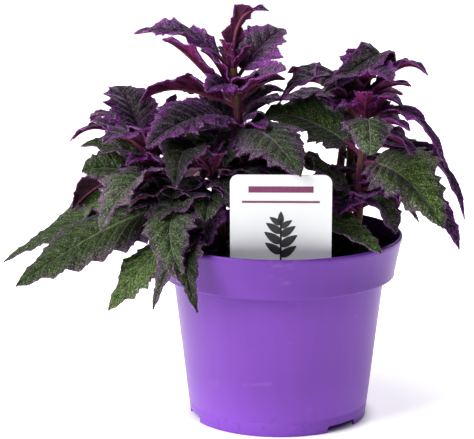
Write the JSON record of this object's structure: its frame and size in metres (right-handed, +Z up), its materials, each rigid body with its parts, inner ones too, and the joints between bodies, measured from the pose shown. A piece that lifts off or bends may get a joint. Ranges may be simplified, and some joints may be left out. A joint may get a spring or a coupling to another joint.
{
  "type": "potted purple passion plant",
  "caption": "Leafy trailing houseplant with toothed, velvety purple-green leaves on soft stems, in a tapered plastic pot with a deep collar, with potting soil and a plain plant label.",
  "frame": {"origin": "centre of the pot's underside, on the surface it stands on", "axes": "+Z up along the pot's axis, -Y towards the front, where the label stands, +X to the right seen from the front"},
  "size_m": [0.2245, 0.1617, 0.2017],
  "materials": {
    "pot_plastic": "satin",
    "potting_soil": "rough",
    "label_plastic": "satin",
    "velvet_foliage": "velvety"
  },
  "bodies": {
    "root": {"pot": "pot_plastic", "soil": "potting_soil", "label": "label_plastic", "stem_middle": "velvet_foliage", "stem_right_tall": "velvet_foliage", "stem_right_front": "velvet_foliage", "stem_left": "velvet_foliage", "stem_front_left": "velvet_foliage", "stem_back_left": "velvet_foliage", "stem_back_right": "velvet_foliage"}
  },
  "joints": []
}
